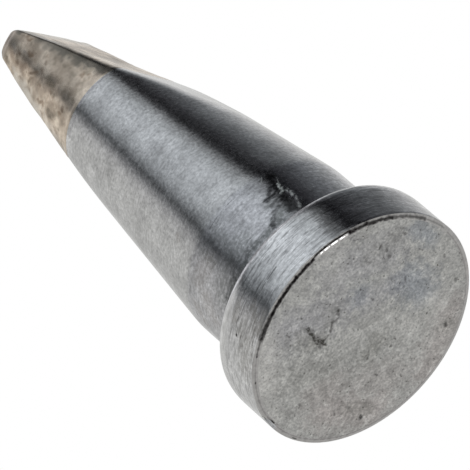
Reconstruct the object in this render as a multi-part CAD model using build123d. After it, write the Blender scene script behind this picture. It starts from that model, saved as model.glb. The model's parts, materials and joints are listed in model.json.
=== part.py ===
from build123d import *
import math
import os

# Chisel tip of a soldering iron: one turned copper piece, plated all over and tinned at its end.
# All lengths are in millimetres and all angles in degrees.
# The origin is the centre of the rear face. +Z runs from that face to the chisel end, the two
# flats of the chisel face +Y and -Y, and the blade's width lies along X.

# Flange that the iron's heater presses on
flange_diameter = 6.2
flange_thickness = 1.44
face_edge_radius = 0.1
front_edge_radius = 0.08

# Shank: a straight seat next to the flange, then a taper up to the edge of the tinning
shoulder_width = 0.675
seat_length = 2.26
taper_length = 6.25
neck_diameter = 3.33

# Tinned chisel end
tinned_length = 3.65
blade_width = 2.4
blade_thickness = 0.8
flat_half_angle = 13.9
end_edge_radius = 0.12

# How far a cutter stands out past the stock that it trims
cutter_margin = 0.5

# Largest share of a wall that the rounding on one of its edges may take
rounding_share = 0.45

flange_radius = flange_diameter / 2
seat_radius = flange_radius - shoulder_width
seat_height = flange_thickness + seat_length
neck_radius = neck_diameter / 2
neck_height = seat_height + taper_length
overall_length = neck_height + tinned_length
half_blade = blade_thickness / 2
end_radius = math.hypot(blade_width / 2, half_blade)


def limited(radius, wall):
    """Rounding radius, no more than its share of the wall it sits on."""
    return min(radius, rounding_share * wall)


def flange_outline():
    """Half section of the flange: rear face, rounded rear edge, rim, front edge and shoulder."""
    corners = [
        (0, 0),
        (flange_radius, 0),
        (flange_radius, flange_thickness),
        (seat_radius, flange_thickness),
    ]
    roundings = [
        limited(face_edge_radius, flange_thickness),
        limited(front_edge_radius, shoulder_width),
    ]
    return FilletPolyline(*corners, radius=roundings)


def shank_outline():
    """Side of the seat, the taper and the tinned cone, the end face and the way back down the axis."""
    return Polyline(
        (seat_radius, flange_thickness),
        (seat_radius, seat_height),
        (neck_radius, neck_height),
        (end_radius, overall_length),
        (0, overall_length),
        (0, 0),
    )


def turned_blank():
    """The round piece as it leaves the lathe, before its flats are ground."""
    outline = flange_outline() + shank_outline()
    half_section = Plane.XZ * make_face(outline.edges())
    return revolve(half_section, axis=Axis.Z)


def flat_cutter():
    """Wedge that lies on the +Y flat, from past the end back to where the flat leaves the shank."""
    slope = math.tan(math.radians(flat_half_angle))
    reach = seat_radius + cutter_margin
    top = overall_length + cutter_margin
    section = Polygon(
        (half_blade - slope * cutter_margin, top),
        (reach, top),
        (reach, overall_length - (reach - half_blade) / slope),
        align=None,
    )
    return extrude(Plane.YZ * section, amount=reach, both=True)


def soldering_tip():
    """The finished tip: the blank with both flats ground and its end's edges rounded."""
    cutter = flat_cutter()
    ground = turned_blank() - cutter - mirror(cutter, about=Plane.XZ)
    end_face = ground.faces().sort_by(Axis.Z)[-1]
    return fillet(end_face.edges(), limited(end_edge_radius, blade_thickness))


os.makedirs("parts", exist_ok=True)
export_step(soldering_tip(), "parts/soldering_tip.step")
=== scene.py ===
"""Looks of a chisel tip for a soldering iron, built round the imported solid.

The tip is one turned and plated piece, so its skin is one closed surface. Lengths in the tip's
classes are in millimetres, and the skin's points are turned into metres as they go into the mesh.
Lengths of the studio and the camera are in metres.
The row's frame holds: the rear face's centre is the origin, and +Z runs to the chisel end.
Angles round the axis are in degrees, from +X towards +Y.
"""
import json
import logging
import math
from dataclasses import dataclass
from enum import Enum
from functools import partial, reduce

import bpy
import numpy as np
from mathutils import Matrix, Vector


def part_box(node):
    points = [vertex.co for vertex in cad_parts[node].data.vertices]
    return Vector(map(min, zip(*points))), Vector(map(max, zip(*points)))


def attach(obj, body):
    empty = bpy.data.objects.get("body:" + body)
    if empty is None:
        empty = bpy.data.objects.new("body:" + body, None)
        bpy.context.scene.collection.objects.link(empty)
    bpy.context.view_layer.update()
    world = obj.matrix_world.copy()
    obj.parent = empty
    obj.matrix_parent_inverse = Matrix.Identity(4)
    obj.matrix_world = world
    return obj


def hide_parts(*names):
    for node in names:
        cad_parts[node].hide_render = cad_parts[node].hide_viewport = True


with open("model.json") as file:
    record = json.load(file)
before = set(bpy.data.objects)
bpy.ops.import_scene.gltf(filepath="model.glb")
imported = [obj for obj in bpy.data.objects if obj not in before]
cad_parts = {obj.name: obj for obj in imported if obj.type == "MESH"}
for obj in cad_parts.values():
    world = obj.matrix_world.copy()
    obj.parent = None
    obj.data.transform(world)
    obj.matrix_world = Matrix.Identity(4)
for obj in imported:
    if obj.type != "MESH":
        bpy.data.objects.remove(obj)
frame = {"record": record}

NODE = "soldering_tip"
BODY = "root"
METRES_PER_MM = 0.001
UNROLL_RADIUS = 2.5
DOT_LENGTH = 1e-4
NEARLY_ZERO = 1e-6
QUARTER_TURN = 0.25

# How far a noise strays from 0.5, and the values between which it breaks up an overlay
NOISE_SPREAD = 0.25
BREAK_RANGE = (0.46, 0.62)

log = logging.getLogger("soldering_tip")

Colour = tuple[float, float, float]
Triple = tuple[float, float, float]
Point = tuple[float, float]
Range = tuple[float, float]
Array = np.ndarray
Socket = bpy.types.NodeSocket


class Zone(Enum):
    """The skin's finishes, numbered as the mesh's material slots are."""

    REAR_FACE = 0
    REAR_EDGE = 1
    RIM = 2
    SHANK = 3
    TINNED = 4


def smoothstep(low: float, high: float, value: Array) -> Array:
    """Rises from 0 at low to 1 at high along 3t^2 - 2t^3."""
    t = np.clip((value - low) / (high - low), 0.0, 1.0)
    return t * t * (3.0 - 2.0 * t)


def unrolled(degrees: float, height: float) -> Point:
    """A place on the turned surface laid out flat, from its angle and its height."""
    return math.radians(degrees) * UNROLL_RADIUS, height


@dataclass(frozen=True)
class Mark:
    """A stroke on a surface laid out flat, straight from start to end, in millimetres.

    Its cover falls from the strength to nothing over the softness, a share of the half width, on
    each side of the half width.
    """

    start: Point
    end: Point
    half_width: float
    strength: float = 1.0
    softness: float = 0.9

    @property
    def run(self) -> Point:
        """The way from the start to the end, a hair long where the mark is a dot."""
        return self.end[0] - self.start[0] + DOT_LENGTH, self.end[1] - self.start[1]

    @property
    def fade(self) -> Point:
        """The distances at which the cover starts to fall and is gone."""
        return self.half_width * (1.0 - self.softness), self.half_width * (1.0 + self.softness)

    def cover(self, across: Array, along: Array) -> Array:
        """How much of the mark lies at each place of the laid-out surface.

        The distance is measured to the nearest point of the segment.

        Args:
            across: First coordinate of each place.
            along: Second coordinate of each place.

        Returns:
            The cover, from 0 to the strength.
        """
        run_x, run_y = self.run
        off_x, off_y = across - self.start[0], along - self.start[1]
        share = np.clip((off_x * run_x + off_y * run_y) / (run_x ** 2 + run_y ** 2), 0.0, 1.0)
        distance = np.hypot(off_x - share * run_x, off_y - share * run_y)
        return self.strength * (1.0 - smoothstep(*self.fade, distance))


def stroke(
    start_angle: float, start_height: float, end_angle: float, end_height: float,
    half_width: float, strength: float = 1.0, softness: float = 0.9,
) -> Mark:
    """A mark on the turned surface, between two places given by angle and height."""
    start, end = unrolled(start_angle, start_height), unrolled(end_angle, end_height)
    return Mark(start, end, half_width, strength, softness)


@dataclass(frozen=True)
class Overlay:
    """A group of marks of one colour.

    Ragged is how far the edges wander, as a share of the half width. Broken is how much of the
    cover is missing in patches.
    """

    colour: Colour
    marks: tuple[Mark, ...]
    roughness: float = 0.5
    ragged: float = 0.9
    broken: float = 0.4


FLAKES = (
    stroke(49.4, 2.12, 51.4, 2.3, 0.03, 0.6), stroke(51.6, 2.36, 52.6, 2.48, 0.028, 0.8, 0.8),
    stroke(52, 2.56, 52.8, 2.7, 0.034, 1, 0.7), stroke(51.4, 2.74, 52.4, 2.82, 0.026, 0.8, 0.8),
    stroke(47.6, 2.78, 49, 2.84, 0.032, 0.75), stroke(49.4, 2.84, 50.8, 2.94, 0.04, 0.9, 0.8),
    stroke(50.2, 3, 51.2, 3.1, 0.034, 0.95, 0.7), stroke(51.6, 3.12, 53.4, 3.3, 0.014, 0.6, 0.8),
    stroke(45, 3.42, 47.2, 3.54, 0.016, 0.5, 0.8), stroke(53, 2.28, 53.8, 2.34, 0.016, 0.55, 0.8),
)
EDGE_CHIPS = (
    stroke(-70, 0.02, -66, 0.03, 0.025, 1, 0.5), stroke(-66.6, 0.02, -64.4, 0.03, 0.05, 1, 0.5),
    stroke(-64, 0.03, -60, 0.05, 0.02, 1, 0.5),
)


@dataclass(frozen=True)
class Lumps:
    """Smooth random field in space, from a seeded lattice of numbers."""

    size: float
    seed: int
    cells: int = 32

    def at(self, points: Array) -> Array:
        """The field at each point.

        Each point falls in a cell of the lattice. The eight numbers at that cell's corners are
        blended by smoothstep weights along each axis, and the lattice repeats past its edge.

        Args:
            points: Points in millimetres, with x, y and z last.

        Returns:
            One value from -1 to 1 for each point.
        """
        lattice = np.random.default_rng(self.seed).uniform(-1.0, 1.0, (self.cells,) * 3)
        scaled = points / self.size
        low = np.floor(scaled).astype(int)
        weight = smoothstep(0.0, 1.0, scaled - low)
        total = np.zeros(points.shape[:-1])
        for corner in np.ndindex(2, 2, 2):
            index = (low + corner) % self.cells
            share = np.prod(np.where(corner, weight, 1.0 - weight), axis=-1)
            total += share * lattice[index[..., 0], index[..., 1], index[..., 2]]
        return total


def soft_minimum(first: Array, second: Array, blend: Array | float) -> Array:
    """The smaller of two lengths, rounded where the one passes over into the other.

    With mix = 0.5 + (second - first) / (2 blend), held between 0 and 1, the result is
    second + (first - second) mix - blend mix (1 - mix).
    """
    mix = np.clip(0.5 + 0.5 * (second - first) / blend, 0.0, 1.0)
    return second + (first - second) * mix - blend * mix * (1.0 - mix)


@dataclass
class TipForm:
    """The tip's true form: sizes in millimetres, and the closed surface that they give.

    The fields that end in rings say how many rings of points a stretch of the profile has. The
    blend's rises are heights above the tinning's edge.
    """

    flange_radius: float
    flange_thickness: float
    length: float
    bevel_width: float = 0.14
    bevel_height: float = 0.03
    bevel_corner: float = 0.015
    front_edge_depth: float = 0.08
    front_edge_length: float = 0.30
    shoulder_width: float = 0.675
    seat_length: float = 2.26
    seat_blend: float = 0.02
    neck_radius: float = 1.665
    tinned_length: float = 3.65
    blade_width: float = 2.4
    blade_thickness: float = 0.8
    flat_half_angle: float = 13.9
    flat_turn: float = 1.0
    flat_twist: float = 3.3
    lower_twist: float = 2.0
    twist_start: float = 2.3
    twist_overrun: float = 0.3
    flat_crown: float = 0.03
    crown_drop: float = 1.2
    crown_spread: float = 0.9
    flat_hollow: float = 0.022
    hollow_rise: float = 1.3
    blend_rises: tuple[float, ...] = (-0.4, 0.5, 1.2, 2.2, 3.35, 3.65)
    blends: tuple[float, ...] = (0.11, 0.15, 0.13, 0.06, 0.06, 0.09)
    end_edge_radius: float = 0.18
    end_side_share: float = 0.45
    end_crown: float = 0.02
    end_bow: float = 0.06
    bow_length: float = 0.7
    corner_gap: float = 0.006
    pole_radius: float = 0.05
    face_margin: float = 0.1
    fringe_width: float = 0.08
    neck_fringe: float = 0.15
    cap_share: float = 0.04
    face_rings: int = 12
    fringe_rings: int = 5
    bevel_rings: int = 8
    wall_rings: int = 14
    edge_rings: int = 12
    seat_rings: int = 52
    taper_rings: int = 34
    neck_rings: int = 11
    tinned_rings: int = 42
    cap_rings: int = 9
    segments: int = 480

    @property
    def neck_height(self) -> float:
        """Height of the tinning's edge."""
        return self.length - self.tinned_length

    @property
    def seat_height(self) -> float:
        """Height at which the straight seat passes over into the taper."""
        return self.flange_thickness + self.seat_length

    @property
    def seat_radius(self) -> float:
        """Radius of the shank's straight seat, next to the flange."""
        return self.flange_radius - self.shoulder_width

    @property
    def end_radius(self) -> float:
        """Radius of the cone at the blade's end, through the blade's corners."""
        return math.hypot(self.blade_width, self.blade_thickness) / 2

    def flange_rings(self) -> Array:
        """Rings over the rear face, its bevel, the rim, the front edge and the shoulder.

        The profile is straight but for the front edge, a quarter of an ellipse.

        Returns:
            Rows of radius, height and inset, a column for each ring.
        """
        outer, top = self.flange_radius, self.flange_thickness
        depth, rise = self.front_edge_depth, self.front_edge_length
        inner = outer - self.bevel_width
        corner = outer - self.bevel_corner
        gap, seat = self.corner_gap, self.seat_radius
        turn = np.linspace(0.0, math.pi / 2, self.edge_rings)[1:]
        face = np.linspace(self.pole_radius, inner - self.face_margin, self.face_rings)
        fringe = np.linspace(inner - self.fringe_width, inner, self.fringe_rings)
        bevel = np.linspace(inner, corner, self.bevel_rings)[1:]
        wall = np.linspace(self.bevel_height + self.bevel_corner, top - rise, self.wall_rings)
        ledge = np.array([outer - depth - gap, seat + gap, seat])
        radius = np.concatenate([
            face, fringe, bevel, np.full(len(wall), outer), outer - depth + depth * np.cos(turn), ledge,
        ])
        height = np.concatenate([
            np.zeros(len(face) + len(fringe)),
            (bevel - inner) / (corner - inner) * self.bevel_height,
            wall,
            top - rise + rise * np.sin(turn),
            np.full(len(ledge), top),
        ])
        return np.stack([radius, height, np.zeros(len(radius))])

    def shank_rings(self) -> Array:
        """Rings up the seat, the taper and the tinned end, closest where the relief is finest.

        The radius is the smaller of the seat's and the taper's, joined by a soft minimum.

        Returns:
            Rows of radius, height and inset, a column for each ring.
        """
        seat, neck, fringe = self.seat_height, self.neck_height, self.neck_fringe
        height = np.concatenate([
            np.linspace(self.flange_thickness + self.corner_gap, seat, self.seat_rings),
            np.linspace(seat, neck - fringe, self.taper_rings)[1:],
            np.linspace(neck - fringe, neck + fringe, self.neck_rings)[1:],
            np.linspace(neck + fringe, self.length - self.end_edge_radius, self.tinned_rings)[1:],
        ])
        slope = (self.seat_radius - self.neck_radius) / (neck - seat)
        taper = soft_minimum(
            self.seat_radius, self.neck_radius + slope * (neck - height), self.seat_blend,
        )
        tinned = np.interp(height, [neck, self.length], [self.neck_radius, self.end_radius])
        radius = np.where(height > neck, tinned, taper)
        return np.stack([radius, height, np.zeros(len(radius))])

    def end_rings(self) -> Array:
        """Rings over the blade's end: a quarter circle at its edge and a low crown inside it.

        Returns:
            Rows of radius, height and inset, a column for each ring.
        """
        edge = self.end_edge_radius
        turn = np.linspace(0.0, math.pi / 2, self.cap_rings)[1:]
        cap = np.linspace(1.0, self.cap_share, self.cap_rings)[1:]
        radius = self.end_radius * np.concatenate([np.ones(len(turn)), cap])
        rise = np.concatenate([edge * (np.sin(turn) - 1.0), self.end_crown * (1.0 - cap ** 2)])
        inset = np.concatenate([edge * (1.0 - np.cos(turn)), np.full(len(cap), edge)])
        return np.stack([radius, self.length + rise, inset])

    def flat_distance(self, height: Array) -> Array:
        """How far a flat lies from the axis.

        The flat is a plane with a low crown and then a shallow hollow, both bell curves.

        Args:
            height: Heights, no more than the length.

        Returns:
            The distance at each height.
        """
        slope = math.tan(math.radians(self.flat_half_angle))
        above = height - self.neck_height
        crown = self.flat_crown * np.exp(-((above + self.crown_drop) / self.crown_spread) ** 2)
        hollow = self.flat_hollow * np.exp(-(above - self.hollow_rise) ** 2)
        return self.blade_thickness / 2 + (self.length - height) * slope + crown - hollow

    def flat_lean(self, height: Array, angle: Array) -> Array:
        """How far the flats are ground out of true, in degrees round the axis.

        The +Y flat leans by the turn where it starts, less the twist times a smoothstep towards the
        end. The -Y flat leans by the lower twist times the same smoothstep.
        """
        late = smoothstep(self.length - self.twist_start, self.length + self.twist_overrun, height)
        return np.where(angle < math.pi, self.flat_turn - self.flat_twist * late, self.lower_twist * late)

    def edge_blend(self, height: Array) -> Array:
        """How widely the edge between cone and flat is rounded, straight between the listed rises."""
        return np.interp(height - self.neck_height, self.blend_rises, self.blends)

    def surface(self) -> Array:
        """The skin's points on a grid of rings and segments.

        A ring is a circle of the profile's radius, cut by the two flats. In polar form the cut is
        the smaller of that radius and the flat's distance over |sin(angle - lean)|. The two are
        joined by a soft minimum, which rounds the edge between cone and flat. The end's rounding
        draws both in, the circle by a share only. The end bows out along Z by
        bow (1 - (x / half the blade's width)^2).

        Returns:
            The points, as rings by segments by 3.
        """
        profile = np.concatenate([self.flange_rings(), self.shank_rings(), self.end_rings()], axis=1)
        radius, height, inset = profile
        angle = np.linspace(0.0, 2.0 * math.pi, self.segments, endpoint=False)[None, :]
        level = np.minimum(height, self.length)
        shrink = np.where(inset < self.end_edge_radius, 1.0, radius / self.end_radius)
        circle = (radius / shrink - self.end_side_share * inset)[:, None]
        lean = np.radians(self.flat_lean(level[:, None], angle))
        sine = np.maximum(np.abs(np.sin(angle - lean)), NEARLY_ZERO)
        chord = (self.flat_distance(level) - inset)[:, None] / sine
        cut = soft_minimum(circle, chord, self.edge_blend(level)[:, None])
        polar = np.where(height[:, None] > self.flange_thickness, cut, circle) * shrink[:, None]
        x, y = polar * np.cos(angle), polar * np.sin(angle)
        bow = self.end_bow * np.clip(1.0 - (2.0 * x / self.blade_width) ** 2, 0.0, 1.0)
        z = height[:, None] + bow * smoothstep(self.length - self.bow_length, self.length, height)[:, None]
        return np.stack([x, y, z], axis=-1)


def grid_normals(points: Array) -> Array:
    """Outward unit normals of a grid that closes along its second axis.

    The normal is the cross product of the two differences along the grid.

    Args:
        points: Points as rings by segments by 3.

    Returns:
        One unit vector for each point.
    """
    along = np.gradient(points, axis=0)
    around = np.roll(points, -1, axis=1) - np.roll(points, 1, axis=1)
    normal = np.cross(around, along)
    return normal / np.maximum(np.linalg.norm(normal, axis=-1, keepdims=True), NEARLY_ZERO)


def linked(name: str, data: bpy.types.ID) -> bpy.types.Object:
    """Makes an object and links it to the scene's collection.

    Args:
        name: Its name.
        data: Its mesh, light or camera.

    Returns:
        The object.
    """
    made = bpy.data.objects.new(name, data)
    bpy.context.scene.collection.objects.link(made)
    return made


@dataclass
class Skin:
    """The tip's whole surface as one closed mesh, with its relief.

    The lead-in, measured from the tinning's edge, is where the solder rises to its full height.
    """

    form: TipForm
    name: str = "tip_skin"
    solder_thickness: float = 0.006
    lump_height: float = 0.010
    lumps: Lumps = Lumps(0.45, 11)
    fine_lump_height: float = 0.003
    fine_lumps: Lumps = Lumps(0.16, 12)
    lip_height: float = 0.004
    lip_width: float = 0.06
    lead_in: Range = (-0.02, 0.04)
    end_fade: float = 0.3
    flake_height: float = 0.009
    chip_depth: float = 0.035

    def relief(self, points: Array) -> Array:
        """How far each point stands out of the true form, in millimetres.

        The tinning is lumpy and ends in a low lip, flakes stand on the shank beside the flange,
        and the rear edge has small chips.

        Args:
            points: The skin's points on their grid.

        Returns:
            The relief at each point.
        """
        form = self.form
        x, y, height = np.moveaxis(points, -1, 0)
        across = np.arctan2(y, x) * UNROLL_RADIUS
        above = height - form.neck_height
        tinned = smoothstep(*self.lead_in, above)
        fade = 1.0 - smoothstep(form.length - self.end_fade, form.length, height)
        lumps = self.lump_height * self.lumps.at(points)
        lumps += self.fine_lump_height * self.fine_lumps.at(points)
        lip = self.lip_height * np.exp(-(above / self.lip_width - 1.0) ** 2)
        solder = tinned * (self.solder_thickness * fade + lumps + lip)
        flakes, chips = (
            np.max([mark.cover(across, height) for mark in marks], axis=0) for marks in (FLAKES, EDGE_CHIPS)
        )
        on_rim = np.hypot(x, y) > form.flange_radius - form.bevel_width
        return solder + self.flake_height * flakes - self.chip_depth * chips * on_rim

    def build(self) -> bpy.types.Object:
        """Makes the mesh: the grid's quads, with a fan of triangles at each pole.

        Returns:
            The skin's object, at the origin.
        """
        form = self.form
        points = form.surface()
        points = points + grid_normals(points) * self.relief(points)[..., None]
        rings, segments = points.shape[:2]
        poles = np.array([[0.0, 0.0, 0.0], [0.0, 0.0, form.length + form.end_crown + form.end_bow]])
        vertices = np.concatenate([points.reshape(-1, 3), poles]) * METRES_PER_MM
        ring = np.arange(rings - 1)[:, None] * segments
        here = np.arange(segments)[None, :]
        there = (here + 1) % segments
        quads = np.stack([
            ring + here, ring + there, ring + segments + there, ring + segments + here,
        ], axis=-1).reshape(-1, 4)
        first, following = here[0], there[0]
        last = (rings - 1) * segments
        pole = np.full(segments, rings * segments)
        rear = np.stack([pole, following, first], axis=-1)
        front = np.stack([pole + 1, last + first, last + following], axis=-1)
        mesh = bpy.data.meshes.new(self.name)
        mesh.from_pydata(vertices.tolist(), [], quads.tolist() + rear.tolist() + front.tolist())
        mesh.polygons.foreach_set("use_smooth", np.ones(len(mesh.polygons), bool))
        mesh.polygons.foreach_set("material_index", self.zones(mesh))
        mesh.validate()
        mesh.update()
        return linked(self.name, mesh)

    def zones(self, mesh: bpy.types.Mesh) -> Array:
        """The material slot of each face, by where its middle lies.

        Args:
            mesh: The skin's mesh, in metres.

        Returns:
            One slot number for each face.
        """
        corners = np.zeros(len(mesh.vertices) * 3)
        mesh.vertices.foreach_get("co", corners)
        corners = corners.reshape(-1, 3) / METRES_PER_MM
        starts = np.zeros(len(mesh.polygons), int)
        mesh.polygons.foreach_get("loop_start", starts)
        loops = np.zeros(len(mesh.loops), int)
        mesh.loops.foreach_get("vertex_index", loops)
        middle = (corners[loops[starts]] + corners[loops[starts + 2]]) / 2
        out, height = np.hypot(middle[:, 0], middle[:, 1]), middle[:, 2]
        form = self.form
        low = height < form.bevel_height + form.bevel_corner
        zone = np.full(len(middle), Zone.SHANK.value)
        zone[height > form.neck_height] = Zone.TINNED.value
        zone[height < form.flange_thickness] = Zone.RIM.value
        zone[low] = Zone.REAR_EDGE.value
        zone[low & (out < form.flange_radius - form.bevel_width)] = Zone.REAR_FACE.value
        return zone


@dataclass(frozen=True)
class Noise:
    """A fractal noise: cells per millimetre, finer layers, the weight of each, stretch by axis."""

    scale: float
    detail: float = 3.0
    weight: float = 0.55
    stretch: Triple = (1.0, 1.0, 1.0)


class Graph:
    """A node tree with short ways to add nodes and join them."""

    def __init__(self, owner: bpy.types.Material | bpy.types.World) -> None:
        """Gives its owner a node tree and empties it.

        Args:
            owner: The material or world that the nodes belong to.
        """
        owner.use_nodes = True
        self.tree = owner.node_tree
        self.tree.nodes.clear()

    def add(self, kind: str, inputs: dict | None = None, **settings: object) -> bpy.types.Node:
        """Adds a node.

        Args:
            kind: The node's type name, without the ShaderNode in front.
            inputs: Values or output sockets for its inputs, by name or number.
            settings: The node's own properties.

        Returns:
            The new node.
        """
        node = self.tree.nodes.new("ShaderNode" + kind)
        for name, value in settings.items():
            setattr(node, name, value)
        for name, value in (inputs or {}).items():
            self.feed(node.inputs[name], value)
        return node

    def feed(self, socket: Socket, value: object) -> None:
        """Links an output socket to the input, or sets its value.

        Args:
            socket: The input.
            value: An output socket, or a value of the input's kind, a colour without its alpha.
        """
        if isinstance(value, bpy.types.NodeSocket):
            self.tree.links.new(value, socket)
        elif socket.type == "RGBA":
            socket.default_value = (*value, 1.0)
        else:
            socket.default_value = value

    def place(self, stretch: Triple = (1.0, 1.0, 1.0)) -> Socket:
        """Object coordinates in millimetres, stretched along each axis."""
        source, factors = self.add("TexCoord").outputs["Object"], [s / METRES_PER_MM for s in stretch]
        return self.add("Mapping", {"Vector": source, "Scale": factors}).outputs["Vector"]

    def polar(self) -> tuple[Socket, Socket, Socket]:
        """Polar coordinates round the axis.

        Returns:
            The angle in radians, the distance from the axis and the height, in millimetres.
        """
        apart = self.add("SeparateXYZ", {"Vector": self.place()}).outputs
        angle = self.sum("ARCTAN2", apart["Y"], apart["X"])
        flat = self.add("CombineXYZ", {"X": apart["X"], "Y": apart["Y"]}).outputs["Vector"]
        out = self.vector("LENGTH", {0: flat}, "Value")
        return angle, out, apart["Z"]

    def laid_out(self, angle: Socket, second: Socket) -> Socket:
        """A vector of the turned surface laid out flat: the unrolled angle, then a length."""
        across = self.sum("MULTIPLY", angle, UNROLL_RADIUS)
        return self.add("CombineXYZ", {"X": across, "Y": second}).outputs["Vector"]

    def noise(self, noise: Noise) -> Socket:
        """A noise read at the piece's own place, spread round 0.5."""
        inputs = {"Scale": noise.scale, "Detail": noise.detail, "Roughness": noise.weight}
        return self.add("TexNoise", {"Vector": self.place(noise.stretch)} | inputs).outputs["Fac"]

    def span(
        self, value: Socket, low: float, high: float, to_low: float = 0.0, to_high: float = 1.0,
    ) -> Socket:
        """Carries a value's range over to another, clamped and eased at both ends."""
        inputs = {"Value": value, "From Min": low, "From Max": high, "To Min": to_low, "To Max": to_high}
        return self.add("MapRange", inputs, interpolation_type="SMOOTHSTEP").outputs["Result"]

    def sum(self, operation: str, *values: object) -> Socket:
        """One step of arithmetic on sockets or numbers."""
        return self.add("Math", dict(enumerate(values)), operation=operation).outputs["Value"]

    def sway(self, noise: Socket, strength: object, base: object) -> Socket:
        """A base value pushed up and down: base + strength (noise - 0.5)."""
        return self.sum("MULTIPLY_ADD", self.sum("SUBTRACT", noise, 0.5), strength, base)

    def vector(self, operation: str, inputs: dict, output: str = "Vector") -> Socket:
        """One step of vector arithmetic."""
        return self.add("VectorMath", inputs, operation=operation).outputs[output]

    def blend(self, factor: object, first: object, second: object, mode: str = "MIX") -> Socket:
        """Mixes two colours or sockets, with the factor as the second one's share."""
        inputs = {"Factor": factor, 6: first, 7: second}
        return self.add("Mix", inputs, data_type="RGBA", blend_type=mode).outputs[2]

    def cover(self, place: Socket, marks: tuple[Mark, ...], ragged: float, grain: Socket) -> Socket:
        """Cover of a group of marks, with ragged edges.

        Each mark's distance is taken to the nearest point of its segment, and the grain, spread
        round 0.5, pushes the distance in and out.

        Args:
            place: Coordinates of the laid-out surface.
            marks: The marks.
            ragged: How far the edges wander, as a share of the half width.
            grain: The noise that they wander by.

        Returns:
            The largest cover at each place.
        """
        covers = []
        for mark in marks:
            off = self.vector("SUBTRACT", {0: place, 1: (*mark.start, 0.0)})
            run = (*mark.run, 0.0)
            length = mark.run[0] ** 2 + mark.run[1] ** 2
            share = self.vector("DOT_PRODUCT", {0: off, 1: tuple(r / length for r in run)}, "Value")
            share = self.add("Clamp", {"Value": share}).outputs["Result"]
            near = self.vector("SCALE", {0: run, "Scale": share})
            distance = self.vector("DISTANCE", {0: off, 1: near}, "Value")
            wander = ragged * mark.half_width / NOISE_SPREAD
            distance = self.sum("MULTIPLY_ADD", grain, wander, self.sum("ADD", distance, -wander / 2))
            covers.append(self.span(distance, *mark.fade, mark.strength, 0.0))
        return reduce(partial(self.sum, "MAXIMUM"), covers)

    def lay(
        self, overlays: tuple[Overlay, ...], place: Socket, grains: tuple[Socket, Socket],
        shade: object, rough: object,
    ) -> tuple[Socket, Socket]:
        """Lays residues over a finish, one after the other.

        Args:
            overlays: The residues.
            place: Coordinates of the laid-out surface.
            grains: The noise that their edges wander by, and the noise that breaks them up.
            shade: The finish's colour.
            rough: The finish's roughness.

        Returns:
            The new colour and the new roughness.
        """
        edge, breaks = grains
        for overlay in overlays:
            cover = self.cover(place, overlay.marks, overlay.ragged, edge)
            gaps = self.span(breaks, *BREAK_RANGE, 1.0, 1.0 - overlay.broken)
            cover = self.sum("MULTIPLY", cover, gaps)
            gain = self.sum("MULTIPLY", cover, self.sum("SUBTRACT", overlay.roughness, rough))
            shade, rough = self.blend(cover, shade, overlay.colour), self.sum("ADD", rough, gain)
        return shade, rough

    def tone(self, colour: object, *layers: tuple[Socket, float]) -> Socket:
        """A colour times 1 + strength (noise - 0.5), for each layer's noise and strength."""
        steps = [self.sway(value, strength, 1.0) for value, strength in layers]
        return self.dim(colour, reduce(partial(self.sum, "MULTIPLY"), steps))

    def dim(self, colour: object, factor: Socket) -> Socket:
        """A colour multiplied by one number."""
        grey = self.add("CombineXYZ", {"X": factor, "Y": factor, "Z": factor}).outputs["Vector"]
        return self.blend(1.0, colour, grey, "MULTIPLY")

    def bump(self, relief: Socket, depth: float) -> Socket:
        """The surface's normal, bent by a relief of that depth in metres."""
        inputs = {"Height": relief, "Strength": 1.0, "Distance": depth}
        return self.add("Bump", inputs).outputs["Normal"]

    def end(self, shade: object, rough: object, metallic: float = 1.0, **more: object) -> None:
        """Ends the tree in a principled shader.

        Args:
            shade: Its colour.
            rough: Its roughness.
            metallic: 1 for bare metal, 0 for paint.
            more: Its other inputs, with _ for each space in a name.
        """
        inputs = {"Base Color": shade, "Roughness": rough, "Metallic": metallic}
        inputs |= {name.replace("_", " "): value for name, value in more.items()}
        shader = self.add("BsdfPrincipled", inputs)
        self.add("OutputMaterial", {"Surface": shader.outputs["BSDF"]})


@dataclass(frozen=True, kw_only=True)
class Finish:
    """A finish of the tip or the studio, which becomes one material.

    Its lengths are in millimetres, but the depth of its grain is in metres.
    """

    name: str

    def material(self) -> bpy.types.Material:
        """Makes the material and draws its nodes.

        Returns:
            The material.
        """
        made = bpy.data.materials.new(self.name)
        self.draw(Graph(made))
        return made

    def draw(self, g: Graph) -> None:
        """Draws the finish's nodes. Each finish has its own way."""
        raise NotImplementedError


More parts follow.
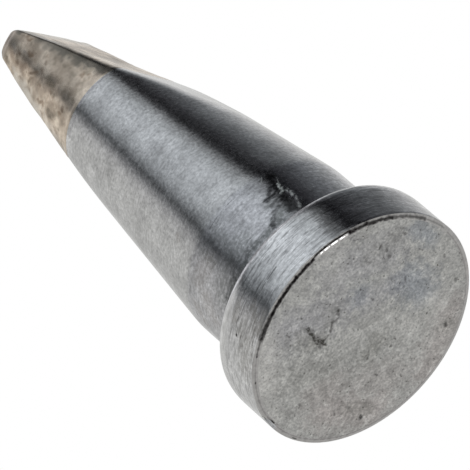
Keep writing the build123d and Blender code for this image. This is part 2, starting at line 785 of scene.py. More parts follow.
@dataclass(frozen=True, kw_only=True)
class TurnedPlate(Finish):
    """Satin iron plating over fine turning lines, on the rim, the shoulder and the shank.

    Below its worn edge the plating is worn by the barrel. What lies no higher than the shoulder is
    duller, by the shoulder's dulling.
    """

    colour: Colour = (0.60, 0.60, 0.61)
    worn_colour: Colour = (0.57, 0.57, 0.595)
    roughness: float = 0.17
    roughness_sway: float = 0.10
    brushing: float = 0.5
    lines: Noise = Noise(1.0, 3.0, 0.6, (1.8, 1.8, 14.0))
    grain: Noise = Noise(13.0, 2.0, 0.6, (0.9, 0.9, 1.1))
    breaks: Noise = Noise(5.5, 3.0, 0.65, (1.0, 1.0, 2.2))
    cloud: Noise = Noise(1.9)
    line_tone: float = 0.50
    worn_line_tone: float = 0.65
    line_ceiling: float = 0.1
    line_depth: float = 0.5
    grain_tone: float = 1.25
    cloud_tone: float = 0.9
    worn_mottle: float = 0.9
    grain_depth: float = 0.0000022
    worn_edge: Range = (3.58, 3.74)
    worn_sway: float = 0.25
    shoulder_height: float
    shoulder_fade: float = 0.03
    shoulder_dulling: float = 0.35
    overlays: tuple[Overlay, ...]

    def draw(self, g: Graph) -> None:
        """Draws the plating, its turning lines, its wear, and its overlays of stains, marks and, on the
        rim, painted light.

        Args:
            g: The material's graph.
        """
        angle, _, height = g.polar()
        lines, grain, breaks, cloud = map(g.noise, (self.lines, self.grain, self.breaks, self.cloud))
        worn = g.span(g.sway(breaks, self.worn_sway, height), *self.worn_edge, 1.0, 0.0)
        shade = g.blend(worn, self.colour, self.worn_colour)
        shade = g.tone(shade, (grain, self.grain_tone), (cloud, self.cloud_tone))
        line_force = g.span(worn, 0.0, 1.0, self.line_tone, self.worn_line_tone)
        streaks = g.sum("MINIMUM", g.sum("SUBTRACT", lines, 0.5), self.line_ceiling)
        shade = g.dim(shade, g.sum("MULTIPLY_ADD", streaks, line_force, 1.0))
        shade = g.dim(shade, g.sway(breaks, g.sum("MULTIPLY", worn, self.worn_mottle), 1.0))
        top = self.shoulder_height
        dull = g.span(height, top, top + self.shoulder_fade, self.shoulder_dulling, 0.0)
        rough = g.sum("ADD", g.sway(grain, self.roughness_sway, self.roughness), dull)
        wander = g.sum("MULTIPLY", g.sum("ADD", lines, breaks), 0.5)
        shade, rough = g.lay(self.overlays, g.laid_out(angle, height), (wander, grain), shade, rough)
        relief = g.sum("MULTIPLY_ADD", lines, self.line_depth, grain)
        tangent = g.add("Tangent", direction_type="RADIAL", axis="Z").outputs["Tangent"]
        g.end(
            shade, rough, Normal=g.bump(relief, self.grain_depth), Tangent=tangent,
            Anisotropic=self.brushing, Anisotropic_Rotation=QUARTER_TURN,
        )


RIM_MARKS_AND_PAINTED_LIGHT = (
    Overlay((0.035, 0.036, 0.038), (
        stroke(-20.6, 0.78, -20.4, 0.79, 0.026, 1, 0.4),
    ), ragged=0.1, broken=0.0),
    Overlay((0.3, 0.28, 0.25), (
        stroke(-14, 0.98, -7, 1.02, 0.1, 0.45), stroke(-11, 0.12, -4, 0.16, 0.12, 0.55),
        stroke(-22, 0.3, -12, 0.36, 0.16, 0.3), stroke(-18, 0.62, -8, 0.66, 0.16, 0.3),
        stroke(-30, 0.34, -21, 0.4, 0.25, 0.35), stroke(-8, 0.36, -4.5, 0.56, 0.12, 0.5),
    )),
    # Painted dark reflection: a dark line along the top of the front edge, and a dark streak down the rim
    # where its bright reflected band ends.
    Overlay((0.2, 0.2, 0.2), (
        stroke(10, 1.42, 43, 1.42, 0.06, 0.85, 0.7), stroke(44, 0.1, 46.5, 1.3, 0.13, 0.6),
    ), roughness=0.25, broken=0.2),
    Overlay((0.22, 0.22, 0.225), (
        stroke(72, 0.3, 92, 0.3, 0.45, 0.6), stroke(72, 0.8, 92, 0.8, 0.4, 0.6),
    ), roughness=0.25, broken=0.1),
    # Painted highlight: a pale band along the front of the rim on the left side.
    Overlay((0.84, 0.84, 0.85), (
        stroke(-66, 1.26, -38, 1.26, 0.16, 0.75), stroke(-38, 1.26, -8, 1.26, 0.15, 0.5),
    ), roughness=0.25, broken=0.1),
    Overlay((0.16, 0.16, 0.165), (
        stroke(2, 0.58, 7.5, 0.6, 0.018, 0.6, 0.5), stroke(9.5, 0.6, 15.5, 0.62, 0.02, 0.7, 0.5),
        stroke(11, 1.08, 17, 1.1, 0.014, 0.5, 0.5), stroke(26, 0.84, 32, 0.85, 0.01, 0.4, 0.5),
        stroke(-2.2, 0.64, -1.4, 0.67, 0.025, 0.5, 0.5), stroke(-16, 0.88, -11, 0.88, 0.012, 0.5, 0.5),
        stroke(-19, 0.18, -13, 0.19, 0.016, 0.45, 0.5),
    ), broken=0.6),
)
SEAT_RESIDUES = (
    Overlay((0.27, 0.285, 0.28), (
        stroke(34, 2.12, 44, 2.36, 0.2, 0.65), stroke(6, 2.04, 16, 2.14, 0.13, 0.5),
        stroke(2, 2.5, 7, 3, 0.16, 0.35), stroke(-22, 2.05, 33, 2.05, 0.07, 0.75, 0.7),
        stroke(-20, 2.32, 14, 2.45, 0.25, 0.45), stroke(86, 2.4, 84, 3.4, 0.32, 0.45),
        stroke(-7.5, 2, -6.5, 3.4, 0.17, 0.5), stroke(6, 2.3, 6.5, 3.3, 0.15, 0.35),
        stroke(37, 2.66, 44, 2.68, 0.1, 0.4),
    ), roughness=0.3, broken=0.5),
    Overlay((0.14, 0.145, 0.15), (
        stroke(-18, 2.09, -7, 2.09, 0.14, 0.8), stroke(5, 2.07, 36, 2.07, 0.11, 0.55),
    ), roughness=0.3, broken=0.3),
    Overlay((0.018, 0.018, 0.02), (
        stroke(45, 2.18, 46.8, 2.55, 0.14, 0.8, 0.8), stroke(46.8, 2.55, 48.6, 3.05, 0.14, 0.95, 0.7),
        stroke(48.6, 3.05, 51, 3.5, 0.13, 0.95, 0.7), stroke(38.5, 2.84, 45.5, 2.88, 0.065, 0.9, 0.7),
        stroke(42.5, 2.94, 47, 3.16, 0.07, 0.85, 0.7), stroke(45, 3.46, 49, 3.5, 0.045, 0.7, 0.7),
        stroke(36.5, 2.44, 44, 2.48, 0.05, 0.6, 0.8), stroke(37.5, 2.62, 43, 2.68, 0.035, 0.55, 0.7),
        stroke(33, 2.3, 38, 2.4, 0.045, 0.5, 0.8), stroke(30, 2.03, 31, 2.14, 0.06, 0.75, 0.7),
        stroke(31.5, 2.16, 34.5, 2.28, 0.045, 0.6, 0.7),
    ), roughness=0.3, broken=0.1),
    Overlay((0.17, 0.175, 0.185), (
        stroke(7, 2.06, 8.5, 2.14, 0.06, 0.55), stroke(14, 2.1, 16, 2.34, 0.055, 0.45),
        stroke(9, 2.16, 12, 2.24, 0.045, 0.45), stroke(19, 2.02, 23, 2.08, 0.04, 0.4),
        stroke(4, 3.53, 15, 3.55, 0.01, 0.6, 0.8), stroke(17, 3.56, 27, 3.54, 0.01, 0.55, 0.8),
        stroke(29, 3.5, 33, 3.52, 0.01, 0.5, 0.8), stroke(10, 3.46, 13, 3.46, 0.008, 0.5, 0.8),
        stroke(12, 3.18, 36, 3.16, 0.008, 0.35, 0.8), stroke(36, 3.66, 42, 3.66, 0.012, 0.4, 0.8),
    ), broken=0.6),
    Overlay((0.47, 0.43, 0.41), (
        stroke(-52, 3.02, -49, 3.1, 0.09, 0.5), stroke(-47, 3.2, -42, 3.3, 0.16, 0.35),
        stroke(-40, 2.6, -30, 2.9, 0.22, 0.35), stroke(-24, 3.2, -10, 3.1, 0.22, 0.3),
        stroke(-13, 4.35, -11, 4.45, 0.06, 0.35),
    )),
    Overlay((0.44, 0.42, 0.45), (
        stroke(4, 9.9, 40, 9.9, 0.035, 0.55, 0.6), stroke(-22, 9.82, -5, 9.83, 0.055, 0.45, 0.8),
    )),
    Overlay((0.86, 0.9, 0.88), FLAKES, roughness=0.55, ragged=1.6, broken=0.75),
)
TINNING_STAINS_AND_PAINTED_LIGHT = (
    # Painted dark reflection: the dark band that the tinned cone reflects beside the flat's near edge.
    Overlay((0.11, 0.11, 0.1), (
        stroke(44, 10, 40.5, 10.5, 0.29, 0.85, 0.8), stroke(40.5, 10.5, 36, 11.1, 0.3, 0.9, 0.8),
        stroke(36, 11.1, 31.5, 11.8, 0.25, 0.9, 0.8), stroke(31.5, 11.8, 29, 12.6, 0.26, 0.85),
        stroke(36.5, 12.2, 30.5, 12.9, 0.2, 0.8), stroke(30.5, 12.9, 27, 13.1, 0.17, 0.8),
        stroke(27, 13.1, 18, 13.4, 0.12, 0.75),
    ), roughness=0.25, broken=0.1),
    # Painted dark reflection: a faint dark streak up the tinning near 0 degrees.
    Overlay((0.23, 0.24, 0.24), (
        stroke(0, 9.95, 3, 10.5, 0.18, 0.24), stroke(3, 10.8, 5, 11.2, 0.16, 0.08),
        stroke(5, 11.2, 3, 11.9, 0.16, 0.28), stroke(3, 12.3, 4.5, 12.8, 0.14, 0.18),
        stroke(5, 12.9, 8, 13.4, 0.18, 0.2),
    ), roughness=0.25, broken=0.35),
    Overlay((0.33, 0.29, 0.24), (
        stroke(24, 10.6, 22, 12, 0.45, 0.35), stroke(40, 11.9, 140, 11.9, 0.6, 0.3),
        stroke(42, 11.7, 50, 12.6, 0.32, 0.55),
    ), broken=0.5),
    # Pale patches on the left side, and a painted highlight along the end, from 44 to 150 degrees.
    Overlay((0.9, 0.86, 0.8), (
        stroke(-46, 10.2, -36, 11.4, 0.34, 0.4), stroke(-36, 11.4, -24, 12.4, 0.34, 0.65),
        stroke(44, 13.36, 150, 13.36, 0.26, 0.75),
    ), roughness=0.25, broken=0.3),
    Overlay((0.3, 0.21, 0.15), (
        stroke(-12, 12.3, -8, 12.5, 0.12, 0.55), stroke(-8, 12.8, -4, 13.1, 0.12, 0.6),
        stroke(-9, 12.16, -4, 12.24, 0.14, 0.6), stroke(-14, 10.3, -10, 10.6, 0.12, 0.35),
    ), roughness=0.3, broken=0.5),
    Overlay((0.17, 0.11, 0.07), (
        stroke(-9.5, 10.36, -7, 10.42, 0.05, 0.6), stroke(-6, 12.1, 1, 11.88, 0.05, 0.65),
        stroke(-3.5, 10.98, -0.5, 11.02, 0.05, 0.55), stroke(-19, 10.62, -14, 10.66, 0.05, 0.4),
        stroke(-8, 12.74, -5, 12.78, 0.06, 0.4), stroke(11.5, 11.76, 13.5, 11.8, 0.035, 0.6),
    )),
    Overlay((0.16, 0.165, 0.17), (
        stroke(0, 12.9, 4, 13.15, 0.09, 0.45), stroke(6, 12.5, 7, 12.7, 0.05, 0.4),
    )),
)
FACE_SCRATCHES = Overlay((0.1, 0.095, 0.085), (
    Mark((0.86, -0.58), (1, -0.54), 0.022, 0.7, 0.8), Mark((0.98, -0.53), (1.36, -0.47), 0.065, 1, 0.8),
    Mark((1.38, -0.44), (1.72, -0.26), 0.06, 1, 0.8), Mark((1.02, -0.6), (1.24, -0.56), 0.04, 0.9, 0.8),
    Mark((1, -0.48), (0.96, -0.3), 0.032, 0.75, 0.8),
    Mark((0.97, -0.2), (1.07, 0.02), 0.034, 0.75, 0.8),
    Mark((1.05, 0.05), (0.95, 0.15), 0.03, 0.7, 0.8), Mark((0.93, 0.18), (1.04, 0.26), 0.026, 0.6, 0.8),
), ragged=1.3, broken=0.5)
FACE_SPOTS = Overlay((0.09, 0.085, 0.08), (
    Mark((1.06, 0.33), (1.08, 0.34), 0.05, 1, 0.8), Mark((-1.43, -2.2), (-1.4, -2.18), 0.055, 1, 0.8),
    Mark((-0.92, -2.02), (-0.8, -1.98), 0.035, 0.5, 0.8),
    Mark((-0.55, -2.26), (-0.52, -2.22), 0.028, 0.6, 0.8),
    Mark((-0.63, -0.69), (-0.62, -0.67), 0.038, 0.75, 0.8),
    Mark((-0.6, -0.6), (-0.52, -0.45), 0.025, 0.35, 0.8),
    Mark((-1.22, -1.06), (-1.16, -1.04), 0.025, 0.6, 0.8),
    Mark((-1.97, -0.94), (-1.95, -0.93), 0.025, 0.5, 0.8),
    Mark((-2.55, 0.52), (-2.5, 0.57), 0.045, 0.8, 0.8),
    Mark((-2.09, 1.71), (-2.05, 1.73), 0.04, 0.6, 0.8),
    Mark((-1.33, 2.21), (-1.28, 2.25), 0.035, 0.5, 0.8),
    Mark((0.36, 1.91), (0.44, 1.96), 0.028, 0.6, 0.8), Mark((0.55, 2.04), (0.6, 2.1), 0.03, 0.6, 0.8),
    Mark((0.82, 2.05), (0.84, 2.12), 0.035, 0.7, 0.8), Mark((0.26, 2.56), (0.34, 2.56), 0.03, 0.6, 0.8),
    Mark((0.18, 0.79), (0.24, 0.8), 0.025, 0.6, 0.8),
    Mark((0.68, -2.18), (0.72, -2.16), 0.03, 0.5, 0.8),
    Mark((2.12, -0.56), (2.26, -0.51), 0.018, 0.5, 0.8),
    Mark((-0.52, 1.4), (-0.44, 1.5), 0.025, 0.5, 0.8),
), ragged=0.5, broken=0.15)
FACE_TINTS = (
    Overlay((0.34, 0.4, 0.5), (
        Mark((-1.15, 1.3), (-0.55, 1.45), 0.42, 0.42), Mark((0.62, 0.78), (0.7, 0.92), 0.26, 0.35),
        Mark((-0.55, 2.6), (0, 2.75), 0.24, 0.35),
    ), roughness=0.55, broken=0.3),
    Overlay((0.7, 0.6, 0.58), (
        Mark((-2.5, 0.9), (-2.75, -0.6), 0.45, 0.35), Mark((-1.6, -1.9), (-0.3, -2.2), 0.5, 0.4),
        Mark((-0.1, -1.6), (0.3, -1.9), 0.4, 0.3), Mark((-1.7, -1), (-0.9, -1.4), 0.5, 0.2),
    ), roughness=0.55, broken=0.3),
    Overlay((0.55, 0.54, 0.6), (
        Mark((1.2, 0.3), (2.3, -0.5), 0.55, 0.4), Mark((0.6, 2), (1.7, 1.3), 0.55, 0.35),
        Mark((-0.1, 1.2), (0.4, 0.8), 0.4, 0.3),
    ), roughness=0.55, broken=0.3),
    Overlay((0.9, 0.88, 0.85), (
        Mark((2.72, -0.9), (2.1, -2), 0.34, 0.75), Mark((1.9, -2.2), (1.2, -2.6), 0.2, 0.4),
        Mark((-1.8, 0.9), (-1.5, 0.4), 0.4, 0.4), Mark((1.85, 1.25), (2, 1.55), 0.26, 0.4),
        Mark((-2.5, 0.3), (-1.9, -0.3), 0.3, 0.25),
    ), roughness=0.55, broken=0.3),
    Overlay((0.4, 0.39, 0.36), (
        Mark((1.2, -0.5), (1.75, -0.6), 0.24, 0.45), Mark((1.1, 0.02), (1.25, 0.3), 0.2, 0.4),
        Mark((0.6, 2.3), (0.9, 1.9), 0.28, 0.35), Mark((-0.65, -0.2), (-0.6, -0.7), 0.22, 0.4),
        Mark((-2.6, 0.55), (-2.5, 0.6), 0.2, 0.4), Mark((-1.5, -2), (-0.9, -2), 0.18, 0.4),
        Mark((0.5, -1.2), (1.2, -1.5), 0.45, 0.22),
    ), roughness=0.55, broken=0.3),
)
# Painted glints: thin light streaks and small light patches on the rear face.
FACE_PAINTED_GLINTS = Overlay((0.74, 0.74, 0.7), (
    Mark((-2.45, 1.1), (-1.95, 0.84), 0.02, 0.35, 0.8),
    Mark((-1.7, 1.88), (-1.4, 1.74), 0.02, 0.35, 0.8), Mark((1.9, 1.35), (2.05, 1.55), 0.12, 0.3),
    Mark((-1.8, 0.85), (-1.6, 0.8), 0.08, 0.25), Mark((1.05, 1.05), (1.25, 1.1), 0.1, 0.28),
    Mark((0.2, 1.35), (0.6, 1.2), 0.16, 0.22),
), broken=0.5)
# Partly painted glint: a brighter, smoother strip of metal along the bevel's lip, laid only on the arc
# where the lamp's glint shows.
EDGE_PAINTED_GLINT = Overlay((0.97, 0.97, 0.96), (
    stroke(31.5, 3.01, 49.5, 3.01, 0.02, 1, 0.5),
), roughness=0.12, ragged=0.6, broken=0.9)
# Painted dark reflection and painted shade: a near-black line along the bevel's near side, where it
# reflects dark surroundings, and dark spots in its chips.
EDGE_PAINTED_SHADE = Overlay((0.01, 0.008, 0.008), (
    stroke(-22, 3.04, -13, 3.03, 0.022, 0.6, 0.8), stroke(-14, 3.025, -3, 3.02, 0.06, 0.95, 0.7),
    stroke(-3, 3.01, 28.5, 3.01, 0.05, 1, 0.6), stroke(27, 3.02, 31, 3.06, 0.028, 1, 0.6),
    stroke(30, 3.064, 48, 3.064, 0.026, 1, 0.6), stroke(49, 3.03, 58, 3.03, 0.055, 1, 0.6),
    stroke(57, 3.02, 72, 3.02, 0.05, 0.95, 0.7), stroke(70, 3.02, 92, 3.02, 0.04, 0.75, 0.8),
    stroke(90, 3.02, 106, 3.02, 0.02, 0.4), stroke(-70, 3.05, -66, 3.03, 0.02, 1, 0.5),
    stroke(-67, 3.02, -64.6, 3.03, 0.055, 1, 0.5), stroke(-64.2, 3.05, -60, 3.08, 0.016, 1, 0.5),
    stroke(-86, 3.05, -83.5, 3.05, 0.012, 0.8, 0.5), stroke(-37.8, 3.03, -37.4, 3.03, 0.015, 0.9, 0.5),
    stroke(-23.6, 3.03, -23.2, 3.03, 0.015, 0.9, 0.5),
), roughness=0.4, ragged=0.5, broken=0.08)
# Painted shade: a thin dark line along the crease between the rear face and the bevel.
EDGE_CREASE_SHADE = Overlay((0.34, 0.31, 0.31), (
    stroke(-62, 3.02, -18, 3.03, 0.016, 0.6), stroke(-100, 2.985, -60, 3.01, 0.016, 0.6),
    stroke(-176, 2.97, -130, 2.97, 0.018, 0.8), stroke(-130, 2.97, -100, 2.985, 0.018, 0.8),
    stroke(110, 2.99, 179, 2.97, 0.016, 0.6),
), broken=0.4)


@dataclass(frozen=True, kw_only=True)
class Tinning(Finish):
    """Dull, mottled solder tinning on the chisel end."""

    name: str = "solder_tinning"
    neck_height: float
    length: float
    colour: Colour = (0.62, 0.515, 0.42)
    pale_colour: Colour = (0.86, 0.74, 0.62)
    dark_colour: Colour = (0.25, 0.215, 0.165)
    brown_colour: Colour = (0.25, 0.16, 0.10)
    end_colour: Colour = (0.36, 0.34, 0.30)
    roughness: float = 0.25
    roughness_sway: float = 0.12
    end_roughness: float = 0.5
    grain_depth: float = 0.000003
    patches: Noise = Noise(2.2, 2.0, 0.5)
    veins: Noise = Noise(4.2, 1.5, 0.5)
    cloud: Noise = Noise(1.3, 1.0)
    grain: Noise = Noise(11.0, 2.0)
    spots: Noise = Noise(3.2, 2.0)
    pale_range: Range = (0.38, 0.64)
    dark_range: Range = (0.48, 0.72)
    dark_share: float = 0.62
    brown_range: Range = (0.56, 0.72)
    brown_share: float = 0.65
    rise_sway: float = 0.4
    lip_highlight_rise: Range = (0.10, 0.28)
    lip_highlight_share: float = 0.7
    end_stretch: float = 0.7
    end_margin: float = 0.1
    end_share: float = 0.45
    grain_tone: float = 0.55
    patch_tone: float = 0.8
    cloud_tone: float = 1.0
    vein_depth: float = -0.6

    def draw(self, g: Graph) -> None:
        """Draws the mottled solder, the painted highlight along its lip, its dull end, and its overlays of
        stains and painted light.

        Args:
            g: The material's graph.
        """
        angle, _, height = g.polar()
        kinds = (self.patches, self.veins, self.cloud, self.grain, self.spots)
        patches, veins, cloud, grain, spots = map(g.noise, kinds)
        shade = g.blend(g.span(patches, *self.pale_range), self.colour, self.pale_colour)
        dark = g.span(veins, *self.dark_range, 0.0, self.dark_share)
        shade = g.blend(dark, shade, self.dark_colour)
        brown = g.span(spots, *self.brown_range, 0.0, self.brown_share)
        shade = g.blend(brown, shade, self.brown_colour)
        rise = g.sway(veins, self.rise_sway, height)
        # Painted highlight: a pale band along the solder's lip, just above the tinning's edge.
        lowest, highest = (self.neck_height + step for step in self.lip_highlight_rise)
        shade = g.blend(g.span(rise, lowest, highest, self.lip_highlight_share, 0.0), shade, self.pale_colour)
        late = self.length - self.end_margin
        worn = g.span(rise, self.length - self.end_stretch, late, 0.0, self.end_share)
        shade = g.blend(worn, shade, self.end_colour)
        tones = (grain, self.grain_tone), (patches, self.patch_tone), (cloud, self.cloud_tone)
        shade = g.tone(shade, *tones)
        rough = g.sway(veins, self.roughness_sway, self.roughness)
        shade, rough = g.lay(TINNING_STAINS_AND_PAINTED_LIGHT, g.laid_out(angle, height), (veins, spots), shade, rough)
        dull = g.span(height, late, self.length, 0.0, self.end_roughness - self.roughness)
        relief = g.sum("MULTIPLY_ADD", veins, self.vein_depth, patches)
        g.end(shade, g.sum("ADD", rough, dull), Normal=g.bump(relief, self.grain_depth))


@dataclass(frozen=True, kw_only=True)
class PressedFace(Finish):
    """Even, matt rear face with a fine speckle, scratches, faint stains and painted glints."""

    name: str = "pressed_face"
    colour: Colour = (0.665, 0.655, 0.635)
    pit_colour: Colour = (0.13, 0.125, 0.11)
    roughness: float = 0.55
    roughness_sway: float = 0.10
    grain_depth: float = 0.000004
    flat: Triple = (1.0, 1.0, 0.0)
    grain: Noise = Noise(14.0, 3.0, 0.65, flat)
    mottle: Noise = Noise(4.0, 4.0, 0.65, flat)
    cloud: Noise = Noise(1.5, 3.0, 0.6, flat)
    specks: Noise = Noise(10.0, 2.0, 0.7, flat)
    grain_tone: float = 1.35
    mottle_tone: float = 1.2
    cloud_tone: float = 0.7
    grain_height: float = 0.5
    pit_range: Range = (0.61, 0.70)
    bare_range: Range = (0.42, 0.60)
    pit_share: float = 0.95
    bare_share: float = 0.35

    def draw(self, g: Graph) -> None:
        """Draws the stains and the painted glints, the speckle and its pits, the scratches and the spots.

        Args:
            g: The material's graph.
        """
        place = g.place(self.flat)
        grain, mottle, cloud, specks = map(g.noise, (self.grain, self.mottle, self.cloud, self.specks))
        rough = g.sway(mottle, self.roughness_sway, self.roughness)
        shade, rough = g.lay((*FACE_TINTS, FACE_PAINTED_GLINTS), place, (mottle, grain), self.colour, rough)
        tones = (grain, self.grain_tone), (mottle, self.mottle_tone), (cloud, self.cloud_tone)
        shade = g.tone(shade, *tones)
        bare = g.span(cloud, *self.bare_range, self.pit_share, self.bare_share)
        pits = g.sum("MULTIPLY", g.span(specks, *self.pit_range), bare)
        shade = g.blend(pits, shade, self.pit_colour)
        shade, rough = g.lay((FACE_SCRATCHES, FACE_SPOTS), place, (specks, grain), shade, rough)
        relief = g.sum("SUBTRACT", g.sum("MULTIPLY", grain, self.grain_height), pits)
        g.end(shade, rough, Normal=g.bump(relief, self.grain_depth))


@dataclass(frozen=True, kw_only=True)
class WornEdge(Finish):
    """The rear face's bevel: bare metal, with painted shade, a painted dark reflection and a partly painted
    glint along parts of it.

    Its marks are laid out as the unrolled angle and the distance from the axis.
    """

    name: str = "worn_edge"
    colour: Colour = (0.67, 0.65, 0.635)
    roughness: float = 0.45
    roughness_sway: float = 0.10
    grain: Noise = Noise(9.0, 3.0, 0.6)
    breaks: Noise = Noise(13.0, 3.0, 0.6)
    grain_tone: float = 0.6

    def draw(self, g: Graph) -> None:
        """Draws the bare metal, the painted shade along its inner crease, its partly painted glint, and the
        painted dark reflection and shade along its near side.

        Args:
            g: The material's graph.
        """
        angle, out, _ = g.polar()
        grain, breaks = map(g.noise, (self.grain, self.breaks))
        shade = g.tone(self.colour, (grain, self.grain_tone))
        rough = g.sway(grain, self.roughness_sway, self.roughness)
        overlays = (EDGE_CREASE_SHADE, EDGE_PAINTED_GLINT, EDGE_PAINTED_SHADE)
        g.end(*g.lay(overlays, g.laid_out(angle, out), (grain, breaks), shade, rough))


@dataclass(frozen=True, kw_only=True)
class FloorPaint(Finish):
    """Plain, pale, matt paint."""

    name: str = "floor_paint"
    colour: Colour = (0.88, 0.88, 0.87)
    roughness: float = 0.8

    def draw(self, g: Graph) -> None:
        """Draws one even colour."""
        g.end(self.colour, self.roughness, 0.0)


@dataclass
class SolderingTip:
    """The whole tip: its form, its skin and its finishes."""

    form: TipForm

    def finishes(self) -> dict[Zone, Finish]:
        """Chooses the finish of each zone.

        Returns:
            The finishes by zone.
        """
        shoulder = self.form.flange_thickness
        rim = TurnedPlate(
            name="turned_rim", shoulder_height=shoulder, shoulder_dulling=0.0, overlays=RIM_MARKS_AND_PAINTED_LIGHT,
            worn_colour=(0.75, 0.75, 0.765), lines=Noise(1.0, 3.0, 0.6, (2.2, 2.2, 21.0)),
            worn_line_tone=2.7, line_ceiling=0.03, grain_tone=0.8, cloud_tone=0.8,
        )
        return {
            Zone.REAR_FACE: PressedFace(),
            Zone.REAR_EDGE: WornEdge(),
            Zone.RIM: rim,
            Zone.SHANK: TurnedPlate(name="turned_shank", shoulder_height=shoulder, overlays=SEAT_RESIDUES),
            Zone.TINNED: Tinning(neck_height=self.form.neck_height, length=self.form.length),
        }

    def build(self) -> bpy.types.Object:
        """Builds the skin and dresses it in its finishes.

        Returns:
            The finished piece.
        """
        skin = Skin(self.form).build()
        finishes = self.finishes()
        for zone in Zone:
            skin.data.materials.append(finishes[zone].material())
        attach(skin, BODY)
        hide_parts(NODE)
        return skin


@dataclass(frozen=True)
class TentTone:
    """How bright the studio's wall is at one azimuth, in degrees from +X towards +Y."""

    azimuth: float
    colour: Colour


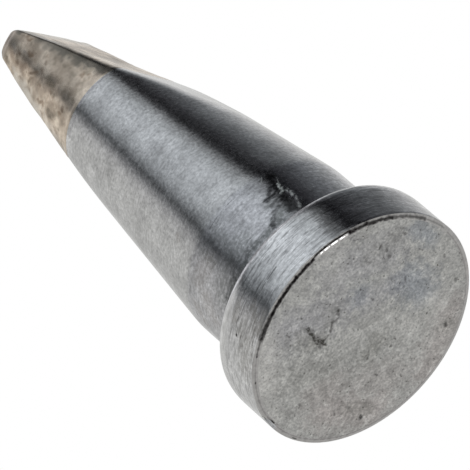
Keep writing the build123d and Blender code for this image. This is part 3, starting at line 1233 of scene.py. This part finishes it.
@dataclass(frozen=True)
class Studio:
    """A soft tent of light round the tip, a pale floor well below it and a white backdrop.

    The ranges are of the height and the Y of a direction, between which a tone gives way.
    """

    backdrop: Colour = (1.0, 1.0, 1.0)
    top_light: Colour = (0.72, 0.72, 0.75)
    low_side_dimming: float = 0.15
    lamp_azimuth: float = 180.0
    lamp_elevation: float = -65.0
    lamp_distance: float = 0.15
    lamp_size: float = 0.032
    lamp_power: float = 0.0038
    floor_height: float = -0.25
    floor_half_width: float = 3.0
    low_range: Range = (0.66, 0.80)
    side_range: Range = (-0.55, -0.30)
    top_range: Range = (0.84, 0.99)
    tones: tuple[TentTone, ...] = (
        TentTone(-180, (0.79, 0.79, 0.775)), TentTone(-150, (0.71, 0.71, 0.695)),
        TentTone(-120, (0.655, 0.655, 0.635)), TentTone(-90, (0.68, 0.68, 0.657)),
        TentTone(-60, (0.62, 0.62, 0.6)), TentTone(-46, (0.6, 0.6, 0.587)),
        TentTone(-38, (0.5, 0.5, 0.495)), TentTone(-30, (0.25, 0.255, 0.26)),
        TentTone(-20, (0.05, 0.055, 0.058)), TentTone(-11, (0.24, 0.255, 0.265)),
        TentTone(-2, (0.405, 0.43, 0.445)), TentTone(10, (0.535, 0.565, 0.585)),
        TentTone(30, (0.65, 0.685, 0.71)), TentTone(42, (0.64, 0.675, 0.7)),
        TentTone(56, (0.5, 0.53, 0.545)), TentTone(64, (0.38, 0.4, 0.41)),
        TentTone(70, (0.24, 0.25, 0.255)), TentTone(76, (0.025, 0.025, 0.028)),
        TentTone(84, (0.003, 0.003, 0.004)), TentTone(98, (0.042, 0.043, 0.047)),
        TentTone(112, (0.105, 0.111, 0.117)), TentTone(124, (0.165, 0.174, 0.182)),
        TentTone(134, (0.245, 0.255, 0.262)), TentTone(148, (0.44, 0.45, 0.455)),
        TentTone(162, (0.63, 0.63, 0.63)), TentTone(180, (0.79, 0.79, 0.775)),
    )

    def light(self) -> None:
        """Gives the world its tones by azimuth, a bright top, and white behind the tip."""
        world = bpy.data.worlds.new("studio_tent")
        bpy.context.scene.world = world
        g = Graph(world)
        way = g.add("TexCoord").outputs["Generated"]
        turn = g.add("TexGradient", {"Vector": way}, gradient_type="RADIAL")
        ramp = g.add("ValToRGB", {"Fac": turn.outputs["Fac"]})
        ramp.color_ramp.interpolation = "EASE"
        marks = ramp.color_ramp.elements
        while len(marks) < len(self.tones):
            marks.new(0.5)
        for mark, tone in zip(marks, self.tones):
            mark.position = (tone.azimuth + 180.0) / 360.0
            mark.color = (*tone.colour, 1.0)
        apart = g.add("SeparateXYZ", {"Vector": way}).outputs
        low = g.span(apart["Z"], *self.low_range, self.low_side_dimming, 0.0)
        side = g.span(apart["Y"], *self.side_range, 1.0, 0.0)
        glow = g.dim(ramp.outputs["Color"], g.sum("SUBTRACT", 1.0, g.sum("MULTIPLY", low, side)))
        glow = g.blend(g.span(apart["Z"], *self.top_range), glow, self.top_light)
        seen = g.add("LightPath").outputs["Is Camera Ray"]
        glow = g.blend(seen, glow, self.backdrop)
        shine = g.add("Background", {"Color": glow, "Strength": 1.0})
        g.add("OutputWorld", {"Surface": shine.outputs["Background"]})

    def lamp(self) -> None:
        """Sets a small round lamp under the tip, which makes the worn lip of its rear edge gleam."""
        turn, rise = math.radians(self.lamp_azimuth), math.radians(self.lamp_elevation)
        reach = math.cos(rise)
        way = Vector((math.cos(turn) * reach, math.sin(turn) * reach, math.sin(rise)))
        data = bpy.data.lights.new("edge_lamp", "AREA")
        data.shape = "DISK"
        data.size = self.lamp_size
        data.energy = self.lamp_power
        lamp = linked("edge_lamp", data)
        lamp.location = way * self.lamp_distance
        lamp.rotation_euler = way.to_track_quat("Z", "Y").to_euler()
        lamp.visible_camera = False

    def floor(self) -> None:
        """Lays the pale floor, below every place that a camera stands in."""
        reach, level = self.floor_half_width, self.floor_height
        signs = ((-1, -1), (1, -1), (1, 1), (-1, 1))
        corners = [(x * reach, y * reach, level) for x, y in signs]
        mesh = bpy.data.meshes.new("studio_floor")
        mesh.from_pydata(corners, [], [(0, 1, 2, 3)])
        mesh.materials.append(FloorPaint().material())
        floor = linked("studio_floor", mesh)


@dataclass(frozen=True)
class Viewpoint:
    """The camera at the photograph's angle. Angles are in degrees, lengths in metres."""

    azimuth: float = 109.842
    elevation: float = -40.746
    roll: float = -48.811
    distance: float = 0.143554
    aim: Triple = (-0.000782, -0.000601, 0.005660)
    lens: float = 459.574
    sensor: float = 36.0
    nearest: float = 0.01

    def place(self) -> None:
        """Stands the camera on its sphere round the aim, turned about its own line of sight."""
        a, e, r = (math.radians(v) for v in (self.azimuth, self.elevation, self.roll))
        back = Vector((math.sin(a) * math.cos(e), -math.cos(a) * math.cos(e), math.sin(e)))
        level = Vector((math.cos(a), math.sin(a), 0.0))
        upright = back.cross(level)
        right = level * math.cos(r) + upright * math.sin(r)
        up = back.cross(right)
        data = bpy.data.cameras.new("photo_view")
        data.sensor_width = self.sensor
        data.lens = self.lens
        data.clip_start = self.nearest
        camera = linked("photo_view", data)
        turned = Matrix((right, up, back)).transposed().to_4x4()
        camera.matrix_world = Matrix.Translation(Vector(self.aim) + back * self.distance) @ turned
        bpy.context.scene.camera = camera


def main() -> None:
    """Builds the camera, the studio and the tip in order, and reports each piece."""
    logging.basicConfig(level=logging.INFO, format="%(name)s: %(message)s")
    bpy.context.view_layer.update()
    Viewpoint().place()
    studio = Studio()
    studio.light()
    studio.lamp()
    studio.floor()
    low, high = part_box(NODE)
    shoulder = next(m for m in frame["record"]["mounts"] if m["name"] == "shoulder")
    form = TipForm(
        flange_radius=high.x / METRES_PER_MM,
        flange_thickness=shoulder["pos_m"][2] / METRES_PER_MM,
        length=high.z / METRES_PER_MM,
    )
    skin = SolderingTip(form).build()
    log.info("%s: %d faces", skin.name, len(skin.data.polygons))
    bpy.context.scene.view_settings.view_transform = "Standard"
    bpy.context.view_layer.update()


if __name__ == "__main__":
    main()
